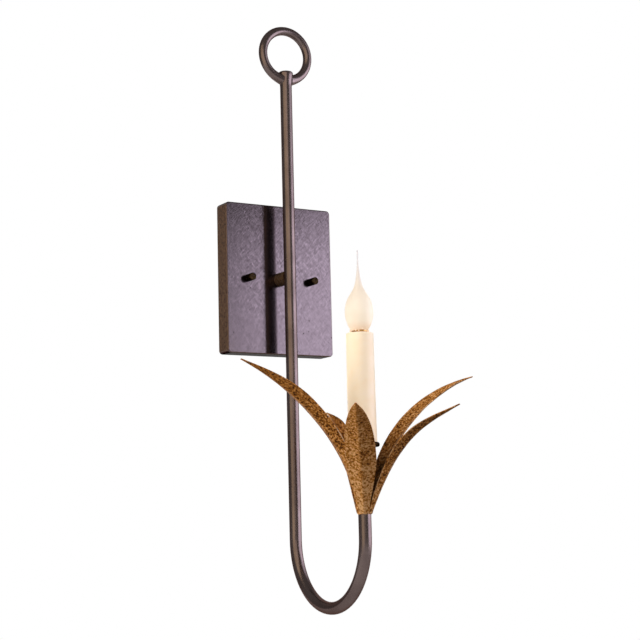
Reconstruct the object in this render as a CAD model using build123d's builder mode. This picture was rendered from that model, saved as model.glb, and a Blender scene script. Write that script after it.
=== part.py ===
"""Wall sconce: backplate, tube arm with a ring and a U bend, leaf crown, candle sleeve and bulb.

Millimetres. The origin is on the wall, behind the centre of the backplate. X runs to the right along
the wall, +Y goes into the wall and +Z is up, so the sconce stands in -Y and a depth from the wall is
an offset of Plane.XZ.
"""
import os
from math import cos, pi, radians, sin, tan
from typing import NamedTuple

from build123d import *

os.makedirs("parts", exist_ok=True)

# Backplate: a pan of sheet metal, open towards the wall
plate_width = 128.0
plate_height = 162.0
plate_depth = 21.0
plate_wall = 2.0
plate_corner_radius = 4.0
plate_edge_radius = 1.2

# Bracket on the wall box, with the two studs that hold the backplate
bracket_thickness = 2.0
bracket_bar_width = 20.0
bracket_end_margin = 9.0
bracket_corner_radius = 4.0
box_slot_spacing = 80.0
box_slot_length = 15.0
box_slot_width = 4.8
stud_spacing = 76.2
stud_radius = 2.05
stud_hole_clearance = 0.6
lock_nut_flats = 7.0
lock_nut_height = 2.6
cap_nut_radius = 4.0
cap_nut_length = 10.5
cap_nut_end = 2.5
cap_nut_chamfer = 0.7
cap_nut_groove = 0.5
driver_slot_width = 1.0
driver_slot_depth = 1.1
ground_screw_x = -17.0
ground_screw_radius = 1.9
ground_head_flats = 6.4
ground_head_height = 2.2
ground_flange_radius = 4.2
ground_flange_height = 0.8

# Arm: one round tube from the ring down, round a U bend and up to the candle
tube_radius = 6.35
tube_wall = 1.5
arm_standoff = 22.0
arm_top_z = 222.6
bend_z = -277.5
bend_radius = 68.6
arm_end_z = -190.2
plug_head_height = 3.0
plug_spigot_length = 10.0
plug_rounding = 2.6
ring_z = 243.6
ring_radius = 27.4
ring_bar_radius = 4.65

# Stand-off boss and the threaded nipple that holds the arm to the backplate
boss_radius = 7.4
boss_saddle_depth = 3.0
nipple_radius = 4.8
nipple_bore_radius = 3.2
nipple_in_boss = 9.0
nipple_past_nut = 1.0
boss_nut_flats = 14.0
boss_nut_height = 4.0
boss_washer_radius = 8.2
boss_washer_thickness = 1.0
wire_hole_radius = 4.0

# Clearances
screw_fit = 0.05
running_fit = 0.06
leaf_foot_gap = 0.5
stud_tip_gap = 0.3

# Candle: cup, sleeve and socket on the arm's outer end
cup_radius = 16.5
cup_thickness = 4.4
cup_rounding = 1.9
sleeve_length = 107.5
sleeve_top_radius = 13.7
sleeve_foot_radius = 14.2
sleeve_bore_radius = 11.0
sleeve_lip_radius = 1.2
candle_nipple_below = 15.0
candle_nipple_above = 10.0
strap_base_radius = 9.0
strap_base_thickness = 2.5
strap_width = 7.0
strap_thickness = 1.2
strap_overlap = 14.0
socket_radius = 10.3
socket_length = 38.0
socket_recess = 2.0
shell_thickness = 0.7
contact_radius = 3.0
contact_thickness = 2.0
rivet_radius = 1.2
rivet_depth = 3.0
rivet_head_radius = 2.2
rivet_head_height = 0.8

# Bulb with a candelabra screw base
bulb_gap = 2.6
base_length = 15.0
base_root_radius = 5.55
thread_radius = 0.4
thread_pitch = 2.54
thread_turns = 4
base_thickness = 0.5
base_collar_radius = 7.6
base_collar_height = 1.8
insulator_length = 2.3
insulator_foot_radius = 3.2
base_contact_radius = 2.6
base_contact_height = 1.2
coat_tip_height = 80.5
coat_tip_radius = 0.8
coat_neck_height = 63.5
coat_neck_radius = 1.05
coat_shoulder_height = 44.5
coat_shoulder_radius = 4.1
coat_flank_height = 29.5
coat_flank_radius = 12.1
coat_belly_height = 16.5
coat_belly_radius = 14.1
coat_under_height = 5.3
coat_under_radius = 11.4
coat_foot_radius = 8.0
glass_top_height = 36.0
glass_belly_height = 17.5
glass_belly_radius = 12.2
glass_neck_radius = 4.75
glass_neck_length = 6.0
glass_wall = 0.8
stem_radius = 1.8
stem_height = 10.0
stem_flange_height = 1.5
filament_radius = 0.35
filament_half_span = 4.0
filament_height = 24.0
filament_foot_spacing = 2.2

# Leads from the wire connectors through the arm to the socket
lead_radius = 1.1
lead_half_spacing = 1.7
lead_bend = 5.5
lead_turn_into_arm = 10.0
lead_fan_radius = 15.0
connector_x = 17.0
connector_mouth_z = -38.0
connector_fan_drop = 16.0
connector_length = 20.0
connector_mouth_radius = 4.6
connector_end_radius = 3.2

# Leaves: dished sheet, each bent by hand to its own reach
leaf_foot_z = -254.0
leaf_thickness = 1.0
leaf_dish_angle = 20.0
leaf_foot_half_width = 2.8
leaf_tip_half_width = 0.7
leaf_taper = 1.2
leaf_stations = 10


class LeafShape(NamedTuple):
    """One leaf. Reach is measured from the candle's axis and rise from the leaf's foot."""

    azimuth: float
    tip: tuple
    foot_pull: tuple
    tip_pull: tuple
    half_width: float
    widest: float


leaves = {
    "leaf_left": LeafShape(180, (132, 145), (2, 56), (72, 32), 14, 0.67),
    "leaf_right": LeafShape(0, (134, 137), (12, 76), (38, 12), 14.5, 0.5),
    "leaf_near_right": LeafShape(-60, (105, 99), (29, 67), (46, 21), 10.5, 0.55),
    "leaf_front": LeafShape(-125, (100, 98), (38, 69), (8, 8), 14.5, 0.3),
    "leaf_back_left": LeafShape(115, (42, 100), (18.5, 75.5), (15.5, 12), 11, 0.62),
    "leaf_back_right": LeafShape(55, (42, 100), (18.5, 75.5), (15.5, 12), 11, 0.62),
}

# Places that follow from the sizes above
pan_floor_depth = plate_depth - plate_wall
arm_depth = plate_depth + arm_standoff
arm_y = -arm_depth
candle_depth = arm_depth + 2 * bend_radius
candle_y = -candle_depth
tube_bore_radius = tube_radius - tube_wall
boss_washer_depth = pan_floor_depth - boss_washer_thickness
boss_nut_depth = boss_washer_depth - boss_nut_height
nipple_rear_depth = boss_nut_depth - nipple_past_nut
cup_top_z = arm_end_z + cup_thickness
sleeve_top_z = cup_top_z + sleeve_length
socket_top_z = sleeve_top_z - socket_recess
socket_foot_z = socket_top_z - socket_length
bulb_foot_z = sleeve_top_z + bulb_gap
base_foot_z = bulb_foot_z - base_length
base_contact_top_z = base_foot_z - insulator_length
bulb_contact_z = base_contact_top_z - base_contact_height
socket_floor_z = bulb_contact_z - contact_thickness
base_crest_radius = base_root_radius + thread_radius
shell_bore_radius = base_crest_radius + running_fit
shell_radius = shell_bore_radius + shell_thickness

candle_axis = Axis((0, candle_y, 0), (0, 0, 1))
candle_section = Plane.XZ.offset(candle_depth)


def save(piece, name):
    """Label a finished piece and write it under its own name."""
    piece.part.label = name
    export_step(piece.part, f"parts/{name}.step")


# Backplate
with BuildPart() as backplate:
    with BuildSketch(Plane.XZ):
        RectangleRounded(plate_width, plate_height, plate_corner_radius)
    extrude(amount=plate_depth)
    fillet(backplate.faces().sort_by(Axis.Y)[0].edges(), plate_edge_radius)
    with BuildSketch(Plane.XZ):
        RectangleRounded(
            plate_width - 2 * plate_wall,
            plate_height - 2 * plate_wall,
            plate_corner_radius - plate_wall,
        )
    extrude(amount=pan_floor_depth, mode=Mode.SUBTRACT)
    with Locations(Plane.XZ.offset(plate_depth)):
        Hole(nipple_radius + screw_fit)
        with GridLocations(stud_spacing, 0, 2, 1):
            Hole(stud_radius + stud_hole_clearance)
save(backplate, "backplate")

# Bracket: a cross, tapped for the studs across and slotted for the wall box up and down
with BuildPart() as mounting_bracket:
    with BuildSketch(Plane.XZ) as cross:
        Rectangle(stud_spacing + 2 * bracket_end_margin, bracket_bar_width)
        Rectangle(bracket_bar_width, box_slot_spacing + box_slot_length + bracket_end_margin)
        fillet(cross.vertices(), bracket_corner_radius)
        with GridLocations(0, box_slot_spacing, 1, 2):
            SlotOverall(box_slot_length, box_slot_width, rotation=90, mode=Mode.SUBTRACT)
        with GridLocations(stud_spacing, 0, 2, 1):
            Circle(stud_radius + screw_fit, mode=Mode.SUBTRACT)
        with Locations((ground_screw_x, 0)):
            Circle(ground_screw_radius + screw_fit, mode=Mode.SUBTRACT)
    extrude(amount=bracket_thickness)
save(mounting_bracket, "mounting_bracket")

with BuildPart() as mounting_studs:
    with BuildSketch(Plane.XZ):
        with GridLocations(stud_spacing, 0, 2, 1):
            Circle(stud_radius)
    extrude(amount=plate_depth + cap_nut_length - cap_nut_end - stud_tip_gap)
save(mounting_studs, "mounting_studs")

with BuildPart() as stud_lock_nuts:
    with BuildSketch(Plane.XZ.offset(bracket_thickness)):
        with GridLocations(stud_spacing, 0, 2, 1):
            RegularPolygon(lock_nut_flats / 2, 6, major_radius=False)
            Circle(stud_radius + screw_fit, mode=Mode.SUBTRACT)
    extrude(amount=lock_nut_height)
save(stud_lock_nuts, "stud_lock_nuts")

with BuildPart() as ground_screw:
    with BuildSketch(Plane.XZ):
        with Locations((ground_screw_x, 0)):
            Circle(ground_screw_radius)
    extrude(amount=bracket_thickness)
    with BuildSketch(Plane.XZ.offset(bracket_thickness)):
        with Locations((ground_screw_x, 0)):
            Circle(ground_flange_radius)
    extrude(amount=ground_flange_height)
    with BuildSketch(Plane.XZ.offset(bracket_thickness + ground_flange_height)):
        with Locations((ground_screw_x, 0)):
            RegularPolygon(ground_head_flats / 2, 6, major_radius=False)
    extrude(amount=ground_head_height)
save(ground_screw, "ground_screw")

# Barrel cap nuts on the studs, in front of the backplate
for name, nut_x in (("left_cap_nut", -stud_spacing / 2), ("right_cap_nut", stud_spacing / 2)):
    with BuildPart() as cap_nut:
        with BuildSketch(Plane.XZ.offset(plate_depth)):
            with Locations((nut_x, 0)):
                Circle(cap_nut_radius)
        extrude(amount=cap_nut_length)
        chamfer(cap_nut.faces().sort_by(Axis.Y)[0].edges(), cap_nut_chamfer)
        with BuildSketch(Plane.XZ.offset(plate_depth + cap_nut_length / 2)):
            with Locations((nut_x, 0)):
                Circle(cap_nut_radius)
                Circle(cap_nut_radius - cap_nut_groove, mode=Mode.SUBTRACT)
        extrude(amount=cap_nut_groove, both=True, mode=Mode.SUBTRACT)
        with BuildSketch(Plane.XZ.offset(plate_depth)):
            with Locations((nut_x, 0)):
                Circle(stud_radius + running_fit)
        extrude(amount=cap_nut_length - cap_nut_end, mode=Mode.SUBTRACT)
        with BuildSketch(Plane.XZ.offset(plate_depth + cap_nut_length)):
            with Locations((nut_x, 0)):
                Rectangle(2 * cap_nut_radius, driver_slot_width)
        extrude(amount=-driver_slot_depth, mode=Mode.SUBTRACT)
    save(cap_nut, name)

# Arm tube, with a hole at the boss for the leads
with BuildPart() as arm_tube:
    with BuildLine(Plane.YZ) as arm_path:
        Line((arm_y, arm_top_z), (arm_y, bend_z))
        ThreePointArc(
            (arm_y, bend_z), (arm_y - bend_radius, bend_z - bend_radius), (candle_y, bend_z)
        )
        Line((candle_y, bend_z), (candle_y, arm_end_z))
    with BuildSketch(Plane.XY.offset(arm_top_z)):
        with Locations((0, arm_y)):
            Circle(tube_radius)
            Circle(tube_bore_radius, mode=Mode.SUBTRACT)
    sweep(path=arm_path.wire())
    with BuildSketch(Plane.XZ.offset(arm_depth)):
        Circle(wire_hole_radius)
    extrude(amount=-2 * tube_radius, mode=Mode.SUBTRACT)
save(arm_tube, "arm_tube")

with BuildPart() as arm_top_plug:
    with BuildSketch(Plane.XY.offset(arm_top_z)):
        with Locations((0, arm_y)):
            Circle(tube_radius)
    extrude(amount=plug_head_height)
    fillet(arm_top_plug.faces().sort_by(Axis.Z)[-1].edges(), plug_rounding)
    with BuildSketch(Plane.XY.offset(arm_top_z)):
        with Locations((0, arm_y)):
            Circle(tube_bore_radius - screw_fit)
    extrude(amount=-plug_spigot_length)
save(arm_top_plug, "arm_top_plug")

# Ring: a bent bar whose two ends meet the sides of the tube
with BuildPart() as top_ring:
    with Locations((0, arm_y, ring_z)):
        Torus(ring_radius, ring_bar_radius, rotation=(90, 0, 0))
    with BuildSketch(Plane.XY.offset(arm_top_z + plug_head_height)):
        with Locations((0, arm_y)):
            Circle(tube_radius)
    extrude(amount=-2 * ring_radius, mode=Mode.SUBTRACT)
save(top_ring, "top_ring")

# Boss with a saddle for the tube, and the nipple, washer and nut that draw it to the backplate
with BuildPart() as arm_boss:
    with BuildSketch(Plane.XZ.offset(plate_depth)):
        Circle(boss_radius)
        Circle(nipple_radius + screw_fit, mode=Mode.SUBTRACT)
    extrude(amount=arm_standoff - boss_saddle_depth)
    with BuildSketch(Plane.XY.offset(-2 * boss_radius)):
        with Locations((0, arm_y)):
            Circle(tube_radius)
    extrude(amount=4 * boss_radius, mode=Mode.SUBTRACT)
save(arm_boss, "arm_boss")

with BuildPart() as boss_nipple:
    with BuildSketch(Plane.XZ.offset(nipple_rear_depth)):
        Circle(nipple_radius)
        Circle(nipple_bore_radius, mode=Mode.SUBTRACT)
    extrude(amount=plate_depth + nipple_in_boss - nipple_rear_depth)
save(boss_nipple, "boss_nipple")

with BuildPart() as boss_lock_washer:
    with BuildSketch(Plane.XZ.offset(boss_washer_depth)):
        Circle(boss_washer_radius)
        Circle(nipple_radius + screw_fit, mode=Mode.SUBTRACT)
    extrude(amount=boss_washer_thickness)
save(boss_lock_washer, "boss_lock_washer")

with BuildPart() as boss_lock_nut:
    with BuildSketch(Plane.XZ.offset(boss_nut_depth)):
        RegularPolygon(boss_nut_flats / 2, 6, major_radius=False)
        Circle(nipple_radius + screw_fit, mode=Mode.SUBTRACT)
    extrude(amount=boss_nut_height)
save(boss_lock_nut, "boss_lock_nut")

# Candle cup and the nipple that clamps it to the arm's end
with BuildPart() as candle_cup:
    with BuildSketch(Plane.XY.offset(arm_end_z)):
        with Locations((0, candle_y)):
            Circle(cup_radius)
    extrude(amount=cup_thickness)
    fillet(candle_cup.edges(), cup_rounding)
    with Locations((0, candle_y, cup_top_z)):
        Hole(nipple_radius + screw_fit)
save(candle_cup, "candle_cup")

with BuildPart() as candle_nipple:
    with BuildSketch(Plane.XY.offset(arm_end_z - candle_nipple_below)):
        with Locations((0, candle_y)):
            Circle(nipple_radius)
            Circle(nipple_bore_radius, mode=Mode.SUBTRACT)
    extrude(amount=candle_nipple_below + cup_thickness + candle_nipple_above)
save(candle_nipple, "candle_nipple")

# Candelabra socket: strap bracket, insulating body, screw shell and centre contact
strap_back_y = candle_y + strap_base_radius
strap_front_y = strap_back_y - strap_thickness
strap_top_z = socket_foot_z + strap_overlap
rivet_z = socket_foot_z + strap_overlap / 2

with BuildPart() as socket_bracket:
    with BuildSketch(Plane.XY.offset(cup_top_z)):
        with Locations((0, candle_y)):
            Circle(strap_base_radius)
            Circle(nipple_radius + screw_fit, mode=Mode.SUBTRACT)
    extrude(amount=strap_base_thickness)
    with BuildSketch(Plane.XY.offset(cup_top_z)):
        with Locations((0, strap_front_y)):
            Rectangle(strap_width, strap_thickness, align=(Align.CENTER, Align.MIN))
    extrude(amount=strap_top_z - cup_top_z)
    with BuildSketch(Plane.XZ.offset(-strap_back_y)):
        with Locations((0, rivet_z)):
            Circle(rivet_radius + screw_fit)
    extrude(amount=strap_thickness, mode=Mode.SUBTRACT)
save(socket_bracket, "socket_bracket")

with BuildPart() as socket_rivet:
    with BuildSketch(Plane.XZ.offset(-strap_back_y)):
        with Locations((0, rivet_z)):
            Circle(rivet_radius)
    extrude(amount=strap_thickness + rivet_depth)
    with BuildSketch(Plane.XZ.offset(-strap_back_y)):
        with Locations((0, rivet_z)):
            Circle(rivet_head_radius)
    extrude(amount=-rivet_head_height)
save(socket_rivet, "socket_rivet")

with BuildPart() as socket_body:
    with BuildSketch(Plane.XY.offset(socket_foot_z)):
        with Locations((0, candle_y)):
            Circle(socket_radius)
    extrude(amount=socket_length)
    with BuildSketch(Plane.XY.offset(socket_floor_z)):
        with Locations((0, candle_y)):
            Circle(shell_radius + screw_fit)
    extrude(amount=socket_top_z - socket_floor_z, mode=Mode.SUBTRACT)
    with BuildSketch(Plane.XY.offset(socket_foot_z)):
        with Locations((0, strap_front_y - screw_fit)):
            Rectangle(
                strap_width + 2 * screw_fit, socket_radius, align=(Align.CENTER, Align.MIN)
            )
    extrude(amount=strap_overlap + screw_fit, mode=Mode.SUBTRACT)
    with BuildSketch(Plane.XZ.offset(-strap_front_y)):
        with Locations((0, rivet_z)):
            Circle(rivet_radius + screw_fit)
    extrude(amount=rivet_depth + screw_fit, mode=Mode.SUBTRACT)
save(socket_body, "socket_body")

with BuildPart() as socket_shell:
    with BuildSketch(Plane.XY.offset(bulb_contact_z)):
        with Locations((0, candle_y)):
            Circle(shell_radius)
            Circle(shell_bore_radius, mode=Mode.SUBTRACT)
    extrude(amount=socket_top_z - bulb_contact_z)
save(socket_shell, "socket_shell")

with BuildPart() as socket_contact:
    with BuildSketch(Plane.XY.offset(socket_floor_z)):
        with Locations((0, candle_y)):
            Circle(contact_radius)
    extrude(amount=contact_thickness)
save(socket_contact, "socket_contact")

# Candle sleeve, loose over the socket and standing on the cup
with BuildPart() as candle_sleeve:
    with BuildSketch(candle_section):
        with BuildLine():
            Polyline(
                (sleeve_bore_radius, cup_top_z),
                (sleeve_foot_radius, cup_top_z),
                (sleeve_top_radius, sleeve_top_z),
                (sleeve_bore_radius, sleeve_top_z),
                close=True,
            )
        make_face()
    revolve(axis=candle_axis)
    fillet(candle_sleeve.faces().sort_by(Axis.Z)[-1].edges(), sleeve_lip_radius)
save(candle_sleeve, "candle_sleeve")

# Bulb base: a thin brass cup with rolled thread rings and a collar, its insulator and its contact
with BuildPart() as bulb_base:
    with BuildSketch(Plane.XY.offset(base_foot_z)):
        with Locations((0, candle_y)):
            Circle(base_root_radius)
    extrude(amount=base_length)
    with BuildSketch(Plane.XY.offset(bulb_foot_z - base_collar_height)):
        with Locations((0, candle_y)):
            Circle(base_collar_radius)
    extrude(amount=base_collar_height)
    for turn in range(thread_turns):
        with Locations((0, candle_y, base_foot_z + (turn + 0.5) * thread_pitch)):
            Torus(base_root_radius, thread_radius)
    with BuildSketch(Plane.XY.offset(base_foot_z)):
        with Locations((0, candle_y)):
            Circle(base_root_radius - base_thickness)
    extrude(amount=base_length, mode=Mode.SUBTRACT)
save(bulb_base, "bulb_base")

with BuildPart() as bulb_insulator:
    with Locations((0, candle_y, base_contact_top_z)):
        Cone(
            insulator_foot_radius,
            base_root_radius,
            insulator_length,
            align=(Align.CENTER, Align.CENTER, Align.MIN),
        )
save(bulb_insulator, "bulb_insulator")

with BuildPart() as bulb_contact:
    with BuildSketch(Plane.XY.offset(bulb_contact_z)):
        with Locations((0, candle_y)):
            Circle(base_contact_radius)
    extrude(amount=base_contact_height)
save(bulb_contact, "bulb_contact")


def glass_profile(inset):
    """Half outline of the glass, drawn in by the inset, closed along the candle's axis."""
    neck_foot = (glass_neck_radius - inset, bulb_foot_z - glass_neck_length)
    neck_top = (glass_neck_radius - inset, bulb_foot_z)
    belly = (glass_belly_radius - inset, bulb_foot_z + glass_belly_height)
    top = (0, bulb_foot_z + glass_top_height - inset)
    Line((0, neck_foot[1]), neck_foot)
    Line(neck_foot, neck_top)
    Spline(neck_top, belly, top, tangents=((0.6, 1), (-1, 0.0)))
    Line(top, (0, neck_foot[1]))


with BuildPart() as bulb_glass:
    with BuildSketch(candle_section):
        with BuildLine():
            glass_profile(0)
        make_face()
    revolve(axis=candle_axis)
    with BuildSketch(candle_section):
        with BuildLine():
            glass_profile(glass_wall)
        make_face()
    revolve(axis=candle_axis, mode=Mode.SUBTRACT)
save(bulb_glass, "bulb_glass")

with BuildPart() as bulb_stem:
    with BuildSketch(Plane.XY.offset(bulb_foot_z - glass_neck_length)):
        with Locations((0, candle_y)):
            Circle(glass_neck_radius - glass_wall - screw_fit)
    extrude(amount=stem_flange_height)
    with BuildSketch(Plane.XY.offset(bulb_foot_z - glass_neck_length)):
        with Locations((0, candle_y)):
            Circle(stem_radius)
    extrude(amount=glass_neck_length + stem_height)
save(bulb_stem, "bulb_stem")

with BuildPart() as bulb_filament:
    stem_top_z = bulb_foot_z + stem_height
    filament_z = bulb_foot_z + filament_height
    with BuildLine(candle_section) as filament_path:
        FilletPolyline(
            (-filament_foot_spacing / 2, stem_top_z),
            (-filament_half_span, filament_z),
            (filament_half_span, filament_z),
            (filament_foot_spacing / 2, stem_top_z),
            radius=filament_half_span / 2,
        )
    with BuildSketch(Plane(filament_path.wire() @ 0, z_dir=filament_path.wire() % 0)):
        Circle(filament_radius)
    sweep(path=filament_path.wire())
    split(bisect_by=Plane.XY.offset(stem_top_z), keep=Keep.TOP)
save(bulb_filament, "bulb_filament")

# Silicone coat: a flame drawn out to a long tip, over the glass
with BuildPart() as bulb_coat:
    with BuildSketch(candle_section):
        with BuildLine():
            coat_top = (coat_tip_radius, bulb_foot_z + coat_tip_height - coat_tip_radius)
            coat_foot = (coat_foot_radius, bulb_foot_z)
            Line((0, bulb_foot_z), coat_foot)
            Spline(
                coat_foot,
                (coat_under_radius, bulb_foot_z + coat_under_height),
                (coat_belly_radius, bulb_foot_z + coat_belly_height),
                (coat_flank_radius, bulb_foot_z + coat_flank_height),
                (coat_shoulder_radius, bulb_foot_z + coat_shoulder_height),
                (coat_neck_radius, bulb_foot_z + coat_neck_height),
                coat_top,
                tangents=((1, 0.7), (0, 1)),
            )
            RadiusArc(coat_top, (0, bulb_foot_z + coat_tip_height), -coat_tip_radius)
            Line((0, bulb_foot_z + coat_tip_height), (0, bulb_foot_z))
        make_face()
    revolve(axis=candle_axis)
    with BuildSketch(candle_section):
        with BuildLine():
            glass_profile(-screw_fit)
        make_face()
    revolve(axis=candle_axis, mode=Mode.SUBTRACT)
save(bulb_coat, "bulb_coat")

# Leads: out of the connectors, through the nipple and down the arm to the socket's foot
lead_depth = nipple_rear_depth - lead_bend
for name, side in (("hot_lead", 1), ("neutral_lead", -1)):
    lead_x = side * lead_half_spacing
    mouth = (side * connector_x, -lead_depth, connector_mouth_z)
    fan = (side * connector_x, -lead_depth, connector_mouth_z + connector_fan_drop)
    with BuildPart() as lead:
        with BuildLine() as lead_path:
            FilletPolyline(
                mouth,
                fan,
                (lead_x, -lead_depth, 0),
                (lead_x, arm_y, 0),
                (lead_x, arm_y, bend_z),
                radius=[lead_fan_radius, lead_bend, lead_turn_into_arm],
            )
            ThreePointArc(
                (lead_x, arm_y, bend_z),
                (lead_x, arm_y - bend_radius, bend_z - bend_radius),
                (lead_x, candle_y, bend_z),
            )
            Line((lead_x, candle_y, bend_z), (lead_x, candle_y, socket_foot_z))
        with BuildSketch(Plane(mouth, z_dir=(0, 0, 1))):
            Circle(lead_radius)
        sweep(path=lead_path.wire())
    print(name, "length", round(lead_path.wire().length, 1))
    save(lead, name)

with BuildPart() as wire_connectors:
    with Locations((0, -lead_depth, connector_mouth_z)):
        with GridLocations(2 * connector_x, 0, 2, 1):
            Cone(
                connector_end_radius,
                connector_mouth_radius,
                connector_length,
                align=(Align.CENTER, Align.CENTER, Align.MAX),
            )
save(wire_connectors, "wire_connectors")


def bezier(t, points):
    """Point and direction on a cubic curve through four control points, in reach and height."""
    (a, b, c, d) = points
    u = 1 - t
    place = [
        u**3 * a[i] + 3 * u * u * t * b[i] + 3 * u * t * t * c[i] + t**3 * d[i] for i in (0, 1)
    ]
    slope = [
        u * u * (b[i] - a[i]) + 2 * u * t * (c[i] - b[i]) + t * t * (d[i] - c[i]) for i in (0, 1)
    ]
    return place, slope


def leaf_half_width_at(t, leaf):
    """Half width along the leaf: a quarter wave up to its widest place, another down to the tip."""
    if t < leaf.widest:
        end = leaf_foot_half_width
        swell = t / leaf.widest
    else:
        end = leaf_tip_half_width
        swell = (1 - t) / (1 - leaf.widest)
    return end + (leaf.half_width - end) * sin(pi / 2 * swell) ** leaf_taper


# Leaves: a shallow V of sheet, drawn along a curve that bends away from the candle
leaf_foot = (tube_radius + leaf_foot_gap + leaf_thickness / 2, leaf_foot_z)
for name, leaf in leaves.items():
    tip = (leaf.tip[0], leaf_foot_z + leaf.tip[1])
    curve = (
        leaf_foot,
        (leaf_foot[0] + leaf.foot_pull[0], leaf_foot_z + leaf.foot_pull[1]),
        (tip[0] - leaf.tip_pull[0], tip[1] - leaf.tip_pull[1]),
        tip,
    )
    along = Vector(cos(radians(leaf.azimuth)), sin(radians(leaf.azimuth)), 0)
    across = Vector(-along.Y, along.X, 0)
    with BuildPart() as leaf_part:
        for station in range(leaf_stations + 1):
            t = station / leaf_stations
            (reach, height), (run, climb) = bezier(t, curve)
            half = leaf_half_width_at(t, leaf)
            lift = half * tan(radians(leaf_dish_angle))
            place = along * reach + Vector(0, candle_y, height)
            with BuildSketch(Plane(place, x_dir=across, z_dir=along * run + Vector(0, 0, climb))):
                with BuildLine():
                    Polyline(
                        (-half, lift + leaf_thickness / 2),
                        (0, leaf_thickness / 2),
                        (half, lift + leaf_thickness / 2),
                        (half, lift - leaf_thickness / 2),
                        (0, -leaf_thickness / 2),
                        (-half, lift - leaf_thickness / 2),
                        close=True,
                    )
                make_face()
        loft()
    save(leaf_part, name)
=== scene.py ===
# %% [markdown]
# # A wall sconce, finished around its CAD frame
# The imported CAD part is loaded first. It holds the real sizes, and nothing here moves it. New pieces
# take their places from the boxes of the CAD nodes, or repeat the CAD part's own sizes, so the two always
# agree. Units are metres, with +X to the right along the wall, +Y into the wall and +Z up.

# %% Load the frame
from math import cos, pi, radians, sin

import bmesh
import bpy
from mathutils import Matrix, Vector


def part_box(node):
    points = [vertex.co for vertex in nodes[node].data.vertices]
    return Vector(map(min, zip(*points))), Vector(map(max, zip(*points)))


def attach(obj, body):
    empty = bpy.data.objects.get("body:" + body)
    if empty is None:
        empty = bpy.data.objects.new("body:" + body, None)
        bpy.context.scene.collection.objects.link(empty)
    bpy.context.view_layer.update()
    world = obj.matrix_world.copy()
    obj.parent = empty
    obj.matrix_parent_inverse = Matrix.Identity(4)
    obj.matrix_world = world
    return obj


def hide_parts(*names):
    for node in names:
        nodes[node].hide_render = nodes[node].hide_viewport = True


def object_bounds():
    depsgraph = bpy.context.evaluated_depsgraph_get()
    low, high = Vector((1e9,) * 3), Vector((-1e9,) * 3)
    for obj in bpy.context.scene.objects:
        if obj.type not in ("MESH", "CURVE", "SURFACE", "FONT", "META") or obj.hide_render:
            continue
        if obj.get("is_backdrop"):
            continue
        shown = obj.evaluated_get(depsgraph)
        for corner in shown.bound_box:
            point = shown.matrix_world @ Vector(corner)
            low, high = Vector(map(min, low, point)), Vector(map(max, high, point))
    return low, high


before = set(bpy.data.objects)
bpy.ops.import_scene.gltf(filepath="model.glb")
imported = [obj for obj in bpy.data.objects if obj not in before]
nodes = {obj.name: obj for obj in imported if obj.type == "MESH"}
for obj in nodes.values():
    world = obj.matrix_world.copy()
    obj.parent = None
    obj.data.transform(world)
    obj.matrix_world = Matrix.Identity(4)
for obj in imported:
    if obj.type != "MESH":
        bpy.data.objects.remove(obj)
cad_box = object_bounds()
scene = bpy.context.scene
scene.view_settings.view_transform = "Standard"
MM = 0.001

# %% [markdown]
# ## Where the main lines run
# Most pieces of a sconce stand on two lines: the straight part of the arm and the candle's axis. Their
# places could be typed in again, but reading them from the CAD boxes keeps one source for each size.

# %% Read the main lines from the CAD boxes
arm_low, arm_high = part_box("arm_tube")
TUBE_RADIUS = (arm_high[0] - arm_low[0]) / 2
ARM_Y = arm_high[1] - TUBE_RADIUS
CANDLE_Y = arm_low[1] + TUBE_RADIUS
print(f"tube radius {TUBE_RADIUS:.4f}, arm at y {ARM_Y:.4f}, candle at y {CANDLE_Y:.4f}")

# %% [markdown]
# ## The camera
# The picture is taken from the left and a little below, with a long lens, and the camera leans by a
# degree or so. A camera in Blender looks along its own -Z, so its three axes are built as vectors and
# set as the columns of its matrix, which is clearer than a chain of turns.

# %% Set up the camera
VIEW_TURN, VIEW_RISE, VIEW_LEAN = radians(-30.38), radians(-8.19), radians(-1.40)
VIEW_DISTANCE, CLIP_START = 1.6924, 0.05
AIM_RIGHT, AIM_UP = 0.0525, -0.0420
LENS, SENSOR = 87.8, 36.0

back = Vector((sin(VIEW_TURN) * cos(VIEW_RISE), -cos(VIEW_TURN) * cos(VIEW_RISE), sin(VIEW_RISE)))
rightward = Vector((cos(VIEW_TURN), sin(VIEW_TURN), 0))
upright = back.cross(rightward)
lean_right = rightward * cos(VIEW_LEAN) + upright * sin(VIEW_LEAN)
lean_up = upright * cos(VIEW_LEAN) - rightward * sin(VIEW_LEAN)
camera_place = rightward * AIM_RIGHT + Vector((0, 0, AIM_UP)) + back * VIEW_DISTANCE
camera = bpy.data.objects.new("camera", bpy.data.cameras.new("camera"))
camera.data.lens = LENS
camera.data.sensor_width = SENSOR
camera.data.clip_start = CLIP_START
camera.matrix_world = Matrix((lean_right, lean_up, back)).transposed().to_4x4()
camera.matrix_world.translation = camera_place
scene.collection.objects.link(camera)
scene.camera = camera
print("camera at", [round(v, 3) for v in camera_place])

# %% [markdown]
# ## Nodes in few words
# Shader trees and geometry trees are both nodes joined by links. One helper fills a node's inputs and
# makes a link wherever an input is given another node's output, and one adds a new node. The others give
# a short name to the kinds of node that are used most.

# %% Helpers for all node trees
def feed(tree, node, inputs):
    """Fill inputs of a node: one given as a socket is linked, any other value is set."""
    for key, value in inputs.items():
        if isinstance(value, bpy.types.NodeSocket):
            tree.links.new(value, node.inputs[key])
        else:
            node.inputs[key].default_value = value


def add(tree, kind, inputs=None, **options):
    """Add one node with its options and inputs; returns its outputs."""
    node = tree.nodes.new(kind)
    for option, value in options.items():
        setattr(node, option, value)
    feed(tree, node, inputs or {})
    return node.outputs


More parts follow.
